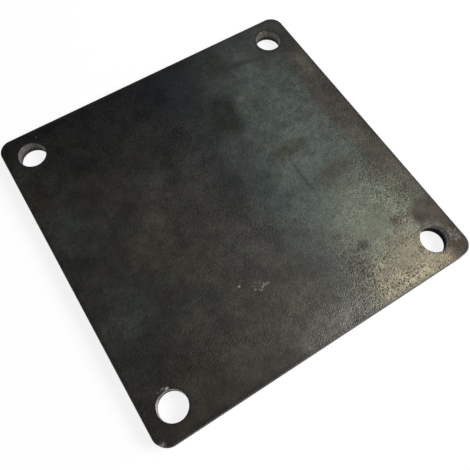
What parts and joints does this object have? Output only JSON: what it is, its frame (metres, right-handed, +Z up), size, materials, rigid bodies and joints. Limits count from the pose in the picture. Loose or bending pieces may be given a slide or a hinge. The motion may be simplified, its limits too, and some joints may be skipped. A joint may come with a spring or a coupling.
{
  "type": "steel plate",
  "caption": "Flat square steel plate with rounded corners and a round bolt hole near each corner, used as a base or mounting plate.",
  "frame": {"origin": "middle of the underside, which lies on the floor", "axes": "+Z up through the thickness, +X and +Y along the plate's sides"},
  "size_m": [0.15, 0.15, 0.006],
  "materials": {
    "mill_scale_steel": "satin"
  },
  "bodies": {
    "root": {"base_plate": "mill_scale_steel"}
  },
  "joints": []
}
